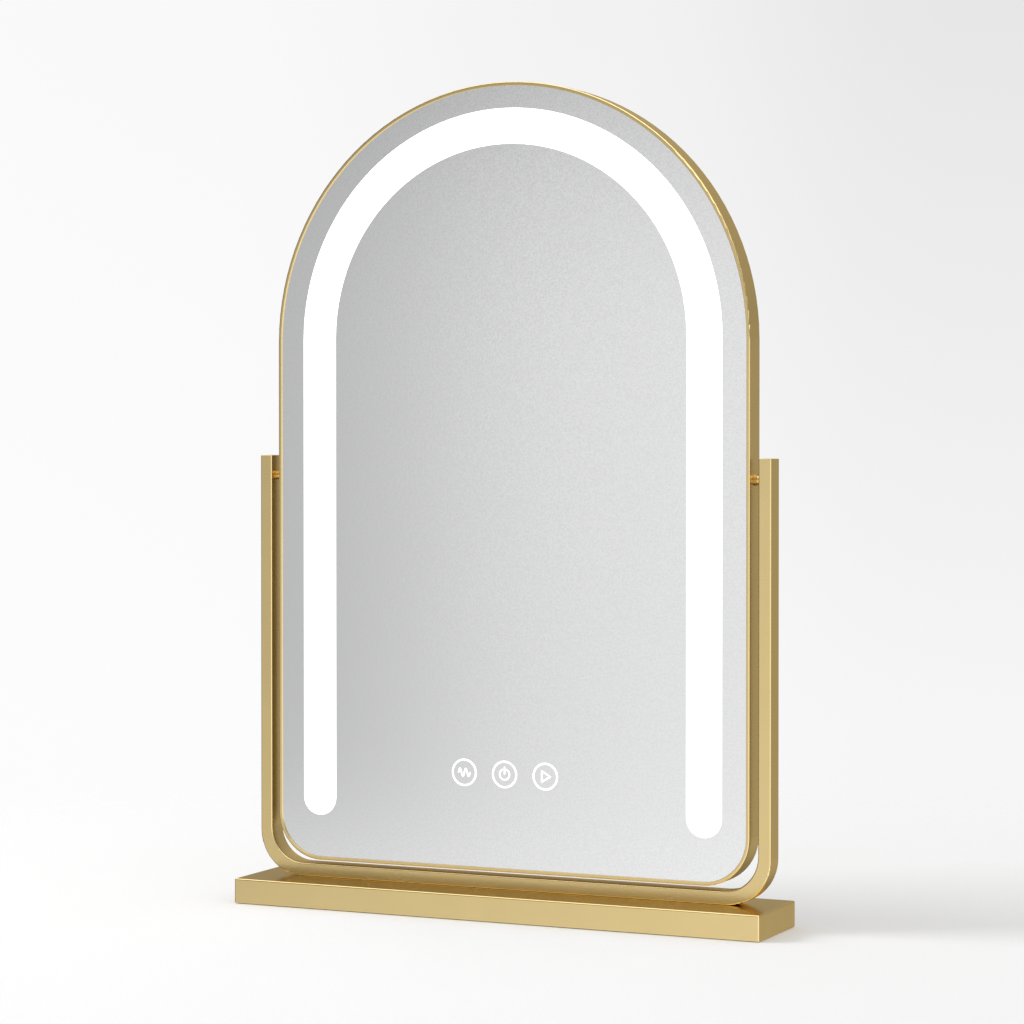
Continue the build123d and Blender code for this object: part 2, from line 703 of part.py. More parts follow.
TROUGH_FLOOR = COVER_FRONT - TRAY_T
TRAY_INSET = 4.0
TOUCH_WINDOW = (104.0, 30.0)
TOUCH_WINDOW_CORNER = 3.0
NOTCH_IN = BAND_IN - TROUGH_GAP - 2 * TRAY_T
NOTCH_Z = 84.0
NOTCH = (2.4, 5.0)
with BuildPart() as light_tray:
    extrude(arch_face(TRAY_INSET, TRAY_FRONT), amount=TRAY_T, dir=BACK)
    extrude(band_face(TROUGH_GAP + TRAY_T, TRAY_FRONT), amount=COVER_FRONT - TRAY_FRONT, dir=BACK)
    extrude(band_face(TROUGH_GAP, TRAY_FRONT), amount=TROUGH_FLOOR - TRAY_FRONT, dir=BACK,
            mode=Mode.SUBTRACT)
    with BuildSketch(upright_plane(TRAY_FRONT)):
        with Locations((0, MARK_Z)):
            RectangleRounded(*TOUCH_WINDOW, TOUCH_WINDOW_CORNER)
    extrude(amount=TRAY_T, dir=BACK, mode=Mode.SUBTRACT)
    with BuildSketch(side_plane(NOTCH_IN)):
        with Locations((TROUGH_FLOOR - NOTCH[0] / 2, NOTCH_Z)):
            Rectangle(*NOTCH)
    extrude(amount=3 * TRAY_T, mode=Mode.SUBTRACT)
write(light_tray, "light_tray")

STRIP_W = 8.0
STRIP_T = 0.3
STRIP_END = 70.0
STRIP_FRONT = TROUGH_FLOOR - STRIP_T
BAND_SPRING = (BAND_OUT_SPRING + BAND_IN_SPRING) / 2
STRIP_OUT = BAND_MID + STRIP_W / 2
STRIP_IN = BAND_MID - STRIP_W / 2
with BuildPart() as led_strip:
    with BuildSketch(upright_plane(STRIP_FRONT)):
        with Locations((0, BAND_SPRING)):
            Circle(STRIP_OUT)
            Circle(STRIP_IN, mode=Mode.SUBTRACT)
            Rectangle(2 * STRIP_OUT, STRIP_OUT, align=(Align.CENTER, Align.MAX), mode=Mode.SUBTRACT)
        with Locations((-BAND_MID, BAND_SPRING), (BAND_MID, BAND_SPRING)):
            Rectangle(STRIP_W, BAND_SPRING - STRIP_END, align=(Align.CENTER, Align.MAX))
    extrude(amount=STRIP_T, dir=BACK)
write(led_strip, "led_strip")

LED = (3.5, 2.8, 0.7)
LED_PITCH = 16.6
LEG_LEDS = 17
ARCH_LEDS = 25
leg_heights = [BAND_SPRING - LED_PITCH * (step + 0.5) for step in range(LEG_LEDS)]
with BuildPart() as led_chips:
    with BuildSketch(upright_plane(STRIP_FRONT - LED[2])):
        with Locations(*[(side * BAND_MID, z) for z in leg_heights for side in (-1, 1)]):
            Rectangle(LED[1], LED[0])
        with Locations((0, BAND_SPRING)):
            with PolarLocations(BAND_MID, ARCH_LEDS, 180 / ARCH_LEDS / 2, 180):
                Rectangle(LED[1], LED[0])
    extrude(amount=LED[2], dir=BACK)
write(led_chips, "led_chips")

# ---------------------------------------------------------------- touch board

PAD_T = 0.5
PAD_R = 6.0
BOARD_T = 1.2
TOUCH_BOARD = (92.0, 20.0)
BOARD_CORNER = 1.5
with BuildPart() as touch_pads:
    with BuildSketch(upright_plane(PANE_BACK)):
        with Locations(*[(MARK_X + step * MARK_PITCH, MARK_Z) for step in (-1, 0, 1)]):
            Circle(PAD_R)
    extrude(amount=PAD_T, dir=BACK)
write(touch_pads, "touch_pads")

TOUCH_BACK = PANE_BACK + PAD_T + BOARD_T
with BuildPart() as touch_board:
    with BuildSketch(upright_plane(PANE_BACK + PAD_T)):
        with Locations((0, MARK_Z)):
            RectangleRounded(*TOUCH_BOARD, BOARD_CORNER)
    extrude(amount=BOARD_T, dir=BACK)
write(touch_board, "touch_board")

TOUCH_SOCKET_SPOT = (24.0, MARK_Z + 4.0)
TOUCH_SOCKET = (8.0, 5.0, 3.8)
CHIP_SPOTS = [(-10.0, MARK_Z), (-32.0, MARK_Z + 2.0)]
CHIP = (6.0, 5.0, 1.4)
with BuildPart() as touch_board_parts:
    with BuildSketch(upright_plane(TOUCH_BACK)):
        with Locations(*CHIP_SPOTS):
            Rectangle(CHIP[0], CHIP[1])
    extrude(amount=CHIP[2], dir=BACK)
    with BuildSketch(upright_plane(TOUCH_BACK)):
        with Locations(TOUCH_SOCKET_SPOT):
            Rectangle(TOUCH_SOCKET[0], TOUCH_SOCKET[1])
    extrude(amount=TOUCH_SOCKET[2], dir=BACK)
write(touch_board_parts, "touch_board_parts")

# ---------------------------------------------------------------- driver board

DRIVER = (70.0, 34.0, 1.6)
DRIVER_CORNER = 2.0
DRIVER_Z = 142.0
BOSS_R = 2.6
BOSS_H = 1.8
BOSS_HOLE = 1.1
DRIVER_BACK = COVER_FRONT - BOSS_H
DRIVER_FRONT = DRIVER_BACK - DRIVER[2]
DRIVER_SCREW = 3.2
DRIVER_SCREW_HEAD_R = 2.2
DRIVER_SCREW_HEAD = 1.2
BOSS_SPOTS = [(x, DRIVER_Z + z) for x in (-31.0, 31.0) for z in (-13.0, 13.0)]
with BuildPart() as driver_board:
    with BuildSketch(upright_plane(DRIVER_FRONT)):
        with Locations((0, DRIVER_Z)):
            RectangleRounded(DRIVER[0], DRIVER[1], DRIVER_CORNER)
        with Locations(*BOSS_SPOTS):
            Circle(BOSS_HOLE + HOLE_FIT, mode=Mode.SUBTRACT)
    extrude(amount=DRIVER[2], dir=BACK)
write(driver_board, "driver_board")

driver_screws = pan_screws(BOSS_SPOTS, upright_plane(DRIVER_FRONT), BOSS_HOLE, DRIVER_SCREW,
                           DRIVER_SCREW_HEAD_R, DRIVER_SCREW_HEAD)
write(driver_screws, "driver_screws")

# each disc of the coil: its radius and the two depths in front of the board that it runs between
COIL_SPOT = (-14.0, DRIVER_Z + 3.0)
COIL_DISCS = [(4.5, 0.0, 0.8), (3.4, 0.8, 3.4), (4.5, 3.4, 4.2)]
with BuildPart() as driver_coil:
    for radius, near, far in COIL_DISCS:
        with BuildSketch(upright_plane(DRIVER_FRONT - near)):
            with Locations(COIL_SPOT):
                Circle(radius)
        extrude(amount=near - far, dir=BACK)
write(driver_coil, "driver_coil")

CAN_SPOTS = [(2.0, DRIVER_Z + 4.0), (12.0, DRIVER_Z + 4.0)]
CAN_R = 3.2
CAN_H = 4.2
CAN_EDGE = 0.4
with BuildPart() as driver_capacitors:
    with BuildSketch(upright_plane(DRIVER_FRONT)):
        with Locations(*CAN_SPOTS):
            Circle(CAN_R)
    extrude(amount=-CAN_H, dir=BACK)
    fillet(driver_capacitors.edges().group_by(Axis.Y)[0], radius=CAN_EDGE)
write(driver_capacitors, "driver_capacitors")

SOCKET_L = 9.0
SOCKET_W = 5.0
SOCKET_T = 4.4
SOCKET_DROP = 14.5
POWER_SOCKET_X = -18.0
LINK_SOCKET_X = 16.0
STRIP_SOCKET_X = 32.5
with BuildPart() as driver_sockets:
    with BuildSketch(upright_plane(DRIVER_FRONT)):
        with Locations((POWER_SOCKET_X, DRIVER_Z - SOCKET_DROP), (LINK_SOCKET_X, DRIVER_Z - SOCKET_DROP)):
            Rectangle(SOCKET_L, SOCKET_W)
        with Locations((STRIP_SOCKET_X, DRIVER_Z)):
            Rectangle(SOCKET_W, SOCKET_L)
    extrude(amount=-SOCKET_T, dir=BACK)
write(driver_sockets, "driver_sockets")

# ---------------------------------------------------------------- power jack in the back cover

JACK_Z = 56.0
JACK_R = 5.0
JACK_FLANGE_R = 7.0
JACK_FRONT = 3.5
JACK_HOLE = 2.9
JACK_DEPTH = 9.0
JACK_EDGE = 0.4
PIN_R = 1.0
PIN_SHY = 0.6
TAG = (4.0, 3.0, 4.0)
JACK_NUT_R = 8.0
JACK_NUT_T = 2.0


def jack_disc(radius, start, depth, mode=Mode.ADD):
    """A disc of the power jack, from y = start backwards."""
    with BuildSketch(upright_plane(start)) as disc:
        with Locations((0, JACK_Z)):
            Circle(radius)
    extrude(disc.sketch, amount=depth, dir=BACK, mode=mode)


with BuildPart() as power_jack:
    jack_disc(JACK_R, JACK_FRONT, COVER_BACK - JACK_FRONT)
    jack_disc(JACK_FLANGE_R, COVER_BACK, SCREW_HEAD)
    fillet(power_jack.edges().group_by(Axis.Y)[-1], radius=JACK_EDGE)
    with BuildSketch(upright_plane(JACK_FRONT)):
        with Locations((0, JACK_Z + JACK_R)):
            Rectangle(TAG[0], 2 * TAG[1])
    extrude(amount=TAG[2], dir=BACK)
    jack_disc(JACK_HOLE, HEAD_BACK - JACK_DEPTH, JACK_DEPTH, Mode.SUBTRACT)
write(power_jack, "power_jack")

with BuildPart() as jack_pin:
    jack_disc(PIN_R, HEAD_BACK - JACK_DEPTH, JACK_DEPTH - PIN_SHY)
    fillet(jack_pin.edges().group_by(Axis.Y)[-1], radius=JACK_EDGE)
write(jack_pin, "jack_pin")

with BuildPart() as jack_nut:
    with BuildSketch(upright_plane(COVER_FRONT - JACK_NUT_T)):
        with Locations((0, JACK_Z)):
            RegularPolygon(radius=JACK_NUT_R, side_count=6)
            Circle(JACK_R, mode=Mode.SUBTRACT)
    extrude(amount=JACK_NUT_T, dir=BACK)
write(jack_nut, "jack_nut")

# ---------------------------------------------------------------- leads, clipped inside the head


def lead(points, radii, radius, name):
    """A wire along straight runs joined by arcs."""
    with BuildPart() as wire:
        with BuildLine() as route:
            FilletPolyline(*points, radius=radii)
        with BuildSketch(Plane(origin=route.line @ 0, z_dir=route.line % 0)):
            Circle(radius)
        sweep()
    write(wire, name)


LEAD_R = 0.9
STRIP_LEAD_R = 0.7
BEND_R = 12.0
TIGHT_BEND_R = 8.0
SOCKET_Y = DRIVER_FRONT - SOCKET_T / 2
SOCKET_LOW = DRIVER_Z - SOCKET_DROP - SOCKET_W / 2
TAG_Y = JACK_FRONT + TAG[2] / 2
TAG_TOP = JACK_Z + JACK_R + TAG[1]
POWER_LEAD = [
    (0, TAG_Y, TAG_TOP),
    (0, TAG_Y, 84.0),
    (POWER_SOCKET_X, SOCKET_Y, 104.0),
    (POWER_SOCKET_X, SOCKET_Y, SOCKET_LOW),
]
lead(POWER_LEAD, [BEND_R, BEND_R], LEAD_R, "power_lead")

TOUCH_LEAD_Y = TOUCH_BACK + TOUCH_SOCKET[2] / 2
TOUCH_LEAD = [
    (TOUCH_SOCKET_SPOT[0], TOUCH_LEAD_Y, TOUCH_SOCKET_SPOT[1] + TOUCH_SOCKET[1] / 2),
    (TOUCH_SOCKET_SPOT[0], TOUCH_LEAD_Y, 105.0),
    (LINK_SOCKET_X, SOCKET_Y, 115.0),
    (LINK_SOCKET_X, SOCKET_Y, SOCKET_LOW),
]
lead(TOUCH_LEAD, [TIGHT_BEND_R, TIGHT_BEND_R], LEAD_R, "touch_lead")

STRIP_LEAD_Y = TROUGH_FLOOR - STRIP_LEAD_R - FACE_GAP
STRIP_LEAD = [
    (STRIP_SOCKET_X + SOCKET_W / 2, SOCKET_Y, DRIVER_Z),
    (60.0, SOCKET_Y, DRIVER_Z),
    (88.0, 8.0, 104.0),
    (102.0, STRIP_LEAD_Y, NOTCH_Z),
    (STRIP_IN, STRIP_LEAD_Y, NOTCH_Z),
]
lead(STRIP_LEAD, [BEND_R, BEND_R, TIGHT_BEND_R], STRIP_LEAD_R, "strip_lead")

# ---------------------------------------------------------------- back cover

VENT = (30.0, 1.8)
VENT_PITCH = 5.0
COVER_FIT = 0.2
COVER_SCREW = COVER_T + 2.4
COVER_SCREW_HEAD_R = 2.8
with BuildPart() as back_cover:
    extrude(arch_face(WALL + COVER_FIT, COVER_FRONT), amount=COVER_T, dir=BACK)
    with BuildSketch(upright_plane(DRIVER_BACK)):
        with Locations(*BOSS_SPOTS):
            Circle(BOSS_R)
    extrude(amount=BOSS_H, dir=BACK)
    with BuildSketch(upright_plane(DRIVER_BACK)):
        with Locations(*BOSS_SPOTS):
            Circle(BOSS_HOLE)
    extrude(amount=BOSS_H, dir=BACK, mode=Mode.SUBTRACT)
    with BuildSketch(upright_plane(COVER_FRONT)):
        with Locations(*COVER_SCREW_SPOTS):
            Circle(M3 + HOLE_FIT)
        with Locations((0, JACK_Z)):
            Circle(JACK_R)
        with Locations((0, DRIVER_Z)):
            with GridLocations(1.0, VENT_PITCH, 1, 4):
                SlotOverall(*VENT)
    extrude(amount=COVER_T, dir=BACK, mode=Mode.SUBTRACT)
write(back_cover, "back_cover")

rear_plane = Plane(origin=(0, COVER_BACK, 0), x_dir=(-1, 0, 0), z_dir=(0, 1, 0))
rear_spots = [(-x, z) for x, z in COVER_SCREW_SPOTS]
back_cover_screws = pan_screws(rear_spots, rear_plane, M3, COVER_SCREW, COVER_SCREW_HEAD_R, SCREW_HEAD)
write(back_cover_screws, "back_cover_screws")
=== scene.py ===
"""Looks of the lighted vanity mirror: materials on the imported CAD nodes, a studio and a camera."""

import json
import math

import bmesh
import bpy
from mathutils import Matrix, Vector


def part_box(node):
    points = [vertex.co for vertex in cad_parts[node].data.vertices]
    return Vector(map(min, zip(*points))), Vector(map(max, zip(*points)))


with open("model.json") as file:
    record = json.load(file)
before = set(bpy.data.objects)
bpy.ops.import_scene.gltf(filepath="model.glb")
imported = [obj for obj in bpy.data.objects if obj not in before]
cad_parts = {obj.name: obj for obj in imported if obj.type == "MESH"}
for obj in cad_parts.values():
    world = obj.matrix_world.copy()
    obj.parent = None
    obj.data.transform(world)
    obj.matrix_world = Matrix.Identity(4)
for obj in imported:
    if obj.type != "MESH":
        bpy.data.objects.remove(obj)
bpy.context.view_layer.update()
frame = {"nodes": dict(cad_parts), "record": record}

BASE_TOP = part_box("base_cover")[1].z
BRACKET_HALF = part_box("u_bracket")[1].x
HEAD_LOW, HEAD_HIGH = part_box("outer_frame")
HEAD_HALF = HEAD_HIGH.x
ARCH_Z = HEAD_HIGH.z - HEAD_HALF
# outer radii of the bracket's bends and of the head's lower corners
BRACKET_CORNER = 0.0285
HEAD_CORNER = 0.030


# ---------------------------------------------------------------- node tools


def rgb(red, green, blue):
    return (red, green, blue, 1.0)


def grey(level):
    return rgb(level, level, level)


def shade(color, factor):
    return rgb(*(min(1.0, channel * factor) for channel in color[:3]))


# a colour ramp holds no more than 1, so it holds a brightness divided by this
RAMP_TOP = 2.0
# noise mostly stays within this part of 0..1
NOISE_LOW, NOISE_HIGH = 0.3, 0.7


class Graph:
    """A node tree, with short ways to add nodes to it. Values may be numbers, colours or outputs."""

    def __init__(self, tree, coordinates):
        self.tree = tree
        self.place = self.node("ShaderNodeTexCoord").outputs[coordinates]

    def node(self, kind, inputs=(), **settings):
        """Adds a node. inputs are (socket, value) pairs."""
        made = self.tree.nodes.new(kind)
        for key, value in settings.items():
            setattr(made, key, value)
        for socket, value in inputs:
            self.feed(made.inputs[socket], value)
        return made

    def feed(self, socket, value):
        if isinstance(value, bpy.types.NodeSocket):
            self.tree.links.new(value, socket)
        elif value is not None:
            socket.default_value = value

    def math(self, operation, a, b=None):
        return self.node("ShaderNodeMath", [(0, a), (1, b)], operation=operation).outputs[0]

    def vector_math(self, operation, a, b):
        return self.node("ShaderNodeVectorMath", [(0, a), (1, b)], operation=operation).outputs[0]

    def parts(self, vector):
        return self.node("ShaderNodeSeparateXYZ", [(0, vector)]).outputs

    def vector(self, x, y, z):
        return self.node("ShaderNodeCombineXYZ", [(0, x), (1, y), (2, z)]).outputs[0]

    def length(self, a, b):
        """Distance from the origin of a point a, b in a plane."""
        squares = self.math("ADD", self.math("POWER", a, 2.0), self.math("POWER", b, 2.0))
        return self.math("SQRT", squares)

    def noise(self, scale, detail, place=None):
        """Noise of about scale waves to a metre."""
        made = self.node(
            "ShaderNodeTexNoise", [("Vector", place or self.place), ("Scale", scale), ("Detail", detail)]
        )
        return made.outputs["Fac"]

    def cells(self, scale):
        made = self.node("ShaderNodeTexVoronoi", [("Vector", self.place), ("Scale", scale)])
        return made.outputs["Distance"]

    def span(self, value, low, high, start=NOISE_LOW, end=NOISE_HIGH, **settings):
        """Takes a value from start..end to low..high, and no further."""
        pairs = [(0, value), (1, start), (2, end), (3, low), (4, high)]
        return self.node("ShaderNodeMapRange", pairs, **settings).outputs[0]

    def blend(self, share, a, b):
        """a where share is 0, b where it is 1."""
        return self.node("ShaderNodeMix", [(0, share), (6, a), (7, b)], data_type="RGBA").outputs[2]

    def mottle(self, value, a, b):
        """Colours a and b, mixed by a noise."""
        return self.blend(self.span(value, 0.0, 1.0), a, b)

    def fade(self, value, start, end, a, b):
        """a up to start, b from end on."""
        return self.blend(self.span(value, 0.0, 1.0, start, end), a, b)

    def ramp(self, value, stops):
        """A brightness that goes smoothly through stops, which are (value, brightness) in rising order."""
        low, high = stops[0][0], stops[-1][0]
        made = self.node("ShaderNodeValToRGB", [(0, self.span(value, 0.0, 1.0, low, high))])
        made.color_ramp.interpolation = "EASE"
        points = made.color_ramp.elements
        while len(points) < len(stops):
            points.new(0.5)
        for point, (where, level) in zip(points, stops):
            point.position = (where - low) / (high - low)
            point.color = grey(level / RAMP_TOP)
        return self.vector_math("MULTIPLY", made.outputs[0], (RAMP_TOP,) * 3)


class Finish(Graph):
    """The node tree of a new material. Its coordinates are metres in the object's own frame."""

    def __init__(self, name):
        self.material = bpy.data.materials.new(name)
        self.material.use_nodes = True
        super().__init__(self.material.node_tree, "Object")
        self.shader = self.tree.nodes["Principled BSDF"]

    def bump(self, height, distance, strength, under=None):
        """A normal with relief. under is the normal of a coarser relief that this one lies on."""
        pairs = [("Height", height), ("Distance", distance), ("Strength", strength), ("Normal", under)]
        return self.node("ShaderNodeBump", pairs).outputs[0]

    def set(self, **sockets):
        """Sets the shader's sockets and gives back the material."""
        for name, value in sockets.items():
            self.feed(self.shader.inputs[name.replace("_", " ")], value)
        return self.material


# ---------------------------------------------------------------- drawn grain

# size of a step along the grain against one across it
GRAIN_SQUASH = 0.02


def grain_along_x(graph):
    x, y, z = graph.parts(graph.place)
    return graph.vector(graph.math("MULTIPLY", x, GRAIN_SQUASH), y, z)


def grain_round_corners(graph, out, half, low, corner):
    """A point's place for grain along a frame with round lower corners, out being how far out it is."""
    x, y, z = graph.parts(graph.place)
    side = graph.math("MAXIMUM", graph.math("SUBTRACT", out, half - corner), 0.0)
    down = graph.math("MAXIMUM", graph.math("SUBTRACT", low + corner, z), 0.0)
    along = graph.math("MULTIPLY", graph.math("ADD", x, z), GRAIN_SQUASH)
    return graph.vector(graph.length(side, down), y, along)


def grain_along_bracket(graph):
    out = graph.math("ABSOLUTE", graph.parts(graph.place)[0])
    return grain_round_corners(graph, out, BRACKET_HALF, BASE_TOP, BRACKET_CORNER)


def grain_along_head(graph):
    x, _, z = graph.parts(graph.place)
    up = graph.math("MAXIMUM", graph.math("SUBTRACT", z, ARCH_Z), 0.0)
    return grain_round_corners(graph, graph.length(x, up), HEAD_HALF, HEAD_LOW.z, HEAD_CORNER)


# ---------------------------------------------------------------- materials

GOLD = rgb(0.80, 0.62, 0.295)
GOLD_EDGE = rgb(1.0, 0.90, 0.66)
# the gold's relief, in metres
GOLD_RELIEF = 0.000006


def satin_gold(name, grain_place, tone=1.0, rough=0.25):
    graph = Finish(name)
    drawn = graph.noise(2600.0, 3.0, grain_place(graph))
    blasted = graph.noise(3800.0, 2.0)
    patches = graph.noise(26.0, 3.0)
    smudges = graph.noise(75.0, 4.0)
    sheen = graph.span(drawn, rough - 0.015, rough + 0.015)
    lines = graph.bump(drawn, GOLD_RELIEF, 0.03)
    return graph.set(
        Base_Color=graph.mottle(patches, shade(GOLD, tone), shade(GOLD, tone * 0.965)),
        Metallic=1.0,
        Roughness=graph.math("ADD", sheen, graph.span(smudges, -0.01, 0.02)),
        Normal=graph.bump(blasted, GOLD_RELIEF, 0.10, lines),
        Specular_Tint=GOLD_EDGE,
    )


def bare_steel(name, color, rough):
    graph = Finish(name)
    rolled = graph.noise(1500.0, 3.0, grain_along_x(graph))
    clouds = graph.noise(60.0, 4.0)
    return graph.set(
        Base_Color=graph.mottle(clouds, color, shade(color, 0.8)),
        Metallic=1.0,
        Roughness=graph.span(rolled, rough - 0.06, rough + 0.06),
        Normal=graph.bump(rolled, 0.00003, 0.4),
    )


def plated(name, color, rough):
    graph = Finish(name)
    specks = graph.noise(900.0, 3.0)
    wear = graph.noise(260.0, 4.0)
    return graph.set(
        Base_Color=graph.mottle(wear, color, shade(color, 0.85)),
        Metallic=1.0,
        Roughness=graph.span(specks, rough - 0.05, rough + 0.08),
        Normal=graph.bump(specks, 0.00002, 0.3),
    )


def moulded(name, color, rough, pebbles, depth, patch_tone):
    """Plastic, rubber or paint. pebbles is how many to a metre, depth their relief in metres."""
    graph = Finish(name)
    fine = graph.noise(pebbles * 1.7, 2.0)
    clouds = graph.noise(24.0, 3.0)
    coarse = graph.bump(graph.cells(pebbles), depth, 0.5)
    return graph.set(
        Base_Color=graph.mottle(clouds, color, shade(color, patch_tone)),
        Roughness=graph.span(fine, rough - 0.05, rough + 0.05),
        Normal=graph.bump(fine, depth * 0.5, 0.4, coarse),
    )


def mirror_pane(name):
    graph = Finish(name)
    grain = graph.noise(1000.0, 1.0)
    haze = graph.noise(14.0, 3.0)
    clear = graph.mottle(haze, rgb(0.900, 0.904, 0.904), rgb(0.890, 0.894, 0.894))
    return graph.set(
        Base_Color=graph.mottle(grain, clear, rgb(0.850, 0.854, 0.854)),
        Metallic=1.0,
        Roughness=graph.span(grain, 0.09, 0.15),
        Normal=graph.bump(grain, 0.00003, 0.25),
    )


def lit_frost(name, strength):
    graph = Finish(name)
    frost = graph.noise(2400.0, 3.0)
    glow = graph.noise(40.0, 2.0)
    return graph.set(
        Base_Color=grey(0.94),
        Roughness=graph.span(frost, 0.45, 0.6),
        Normal=graph.bump(frost, 0.00002, 0.5),
        Emission_Color=graph.mottle(glow, grey(1.0), rgb(0.985, 0.985, 0.98)),
        Emission_Strength=strength,
    )


def board(name, color):
    graph = Finish(name)
    x, _, z = graph.parts(graph.place)
    tracks = graph.node(
        "ShaderNodeTexBrick",
        [("Vector", graph.vector(x, z, 0.0)), ("Scale", 220.0), ("Mortar Size", 0.03)],
        offset=0.35,
    ).outputs["Fac"]
    clouds = graph.noise(120.0, 3.0)
    lacquer = graph.mottle(clouds, color, shade(color, 0.85))
    return graph.set(
        Base_Color=graph.blend(tracks, lacquer, shade(color, 1.5)),
        Roughness=graph.span(clouds, 0.3, 0.4),
        Normal=graph.bump(tracks, 0.00004, 0.4),
    )


def sheathed(name, color):
    graph = Finish(name)
    ripple = graph.noise(700.0, 2.0)
    clouds = graph.noise(90.0, 2.0)
    return graph.set(
        Base_Color=graph.mottle(clouds, color, shade(color, 0.8)),
        Roughness=graph.span(ripple, 0.42, 0.55),
        Normal=graph.bump(ripple, 0.00003, 0.4),
    )


METALS = {
    "plain_steel": bare_steel("plain_steel", rgb(0.52, 0.53, 0.54), rough=0.38),
    "zinc_screws": plated("zinc_screws", rgb(0.66, 0.66, 0.64), rough=0.30),
    "bronze": plated("bronze", rgb(0.62, 0.46, 0.22), rough=0.38),
    "copper": plated("copper", rgb(0.80, 0.42, 0.26), rough=0.28),
    "capacitor_can": plated("capacitor_can", rgb(0.60, 0.61, 0.63), rough=0.25),
    "brass_pin": plated("brass_pin", rgb(0.80, 0.60, 0.28), rough=0.22),
    "gold_steel": satin_gold("bracket_gold", grain_along_bracket),
    "gold_aluminium": satin_gold("head_gold", grain_along_head, tone=0.98),
}
METALS["gold_fittings"] = METALS["gold_steel"]

# colour, roughness, pebbles to a metre, their relief in metres, and the tone of the darker patches
MOULDED = {
    "dark_plate": (rgb(0.020, 0.020, 0.021), 0.50, 2200.0, 0.00006, 0.93),
    "rubber": (rgb(0.022, 0.022, 0.022), 0.75, 2600.0, 0.00008, 0.93),
    "foam_tape": (rgb(0.06, 0.06, 0.06), 0.90, 1600.0, 0.0002, 0.93),
    "opal_acrylic": (rgb(0.88, 0.88, 0.87), 0.25, 900.0, 0.00002, 0.97),
    "white_plastic": (rgb(0.82, 0.82, 0.80), 0.45, 1800.0, 0.00004, 0.96),
    "led": (rgb(0.85, 0.75, 0.28), 0.35, 2000.0, 0.00003, 0.93),
    "black_plastic": (rgb(0.018, 0.018, 0.020), 0.42, 2000.0, 0.00004, 0.93),
    "cream_plastic": (rgb(0.78, 0.72, 0.56), 0.45, 1800.0, 0.00004, 0.93),
    "cover_plastic": (rgb(0.72, 0.71, 0.67), 0.52, 1400.0, 0.00012, 0.96),
}

FINISHES = METALS | {slot: moulded(slot, *values) for slot, values in MOULDED.items()} | {
    "mirror": mirror_pane("mirror_pane"),
    "frosted_light": lit_frost("frosted_light", strength=1.25),
    "frosted_marks": lit_frost("frosted_marks", strength=1.0),
    "strip_board": board("strip_board", rgb(0.80, 0.80, 0.77)),
    "circuit_board": board("circuit_board", rgb(0.012, 0.10, 0.035)),
    "red_lead": sheathed("red_lead", rgb(0.40, 0.02, 0.015)),
}

# nodes whose finish differs from that of their slot
black_lead = sheathed("black_lead", grey(0.02))
OWN_FINISH = {
    "base_cover": satin_gold("base_gold", grain_along_x, rough=0.20),
    "power_lead": black_lead,
    "touch_lead": black_lead,
}

slot_of = {part["node"]: part["material_slot"] for part in frame["record"]["subparts"]}
for name, piece in frame["nodes"].items():
    slot = slot_of[name]
    piece.data.materials.clear()
    piece.data.materials.append(OWN_FINISH.get(name, FINISHES[slot]))


# ---------------------------------------------------------------- floor

FLOOR_RADIUS = 6.0
# how far from the middle of the object the floor starts to fade, and is gone
FLOOR_FADE = (0.25, 0.80)


def fading_floor():
    """A pale floor that fades out far from the object."""
    graph = Finish("studio_floor")
    paper = graph.noise(420.0, 3.0)
    graph.set(
        Base_Color=graph.mottle(paper, grey(0.925), grey(0.905)), Roughness=0.9, Specular_IOR_Level=0.0
    )
    x, y, _ = graph.parts(graph.place)
    gone = graph.span(graph.length(x, y), 0.0, 1.0, *FLOOR_FADE, interpolation_type="SMOOTHSTEP")
    clear = graph.node("ShaderNodeBsdfTransparent").outputs[0]
    mixed = graph.node("ShaderNodeMixShader", [(0, gone), (1, graph.shader.outputs[0]), (2, clear)])
    graph.feed(graph.tree.nodes["Material Output"].inputs["Surface"], mixed.outputs[0])
    return graph.material


sheet = bmesh.new()
bmesh.ops.create_circle(sheet, cap_ends=True, segments=96, radius=FLOOR_RADIUS)
floor_mesh = bpy.data.meshes.new("floor")
sheet.to_mesh(floor_mesh)
sheet.free()
floor_mesh.materials.append(fading_floor())
floor = bpy.data.objects.new("floor", floor_mesh)
# metal and glass see the table of the studio instead, which the floor would be too bright for
floor.visible_glossy = False
bpy.context.scene.collection.objects.link(floor)


# ---------------------------------------------------------------- studio light

# brightness of the studio as metal and glass see it, by the angle in degrees to the right of straight
# in front of the mirror: the table below, the walls beside it and the dimmer room above them
TABLE = [
    (-180, 0.25), (-140, 0.15), (-110, 0.15), (-70, 0.35), (-45, 0.70), (-28, 0.90), (-24, 0.92),
    (-20, 1.02), (-5, 1.18), (20, 1.40), (55, 1.35), (80, 1.00), (105, 0.55), (135, 0.50), (160, 0.54),
    (180, 0.25),
]
WALLS = [
    (-180, 0.20), (-165, 0.12), (-140, 0.12), (-110, 0.10), (-70, 0.22), (-45, 0.50), (-32, 0.47),
    (-28, 0.55), (-24, 0.84), (-19, 0.89), (-5, 1.10), (20, 1.45), (55, 1.55), (80, 1.00), (105, 0.50),
    (135, 0.40), (160, 0.44), (180, 0.30),
]
ROOM = [
    (-180, 0.46), (-140, 0.44), (-110, 0.25), (-70, 0.12), (-45, 0.10), (-28, 0.10), (-24, 0.20),
    (-19, 0.46), (-5, 0.42), (20, 0.50), (55, 0.50), (80, 0.42), (105, 0.38), (160, 0.42), (180, 0.46),
]
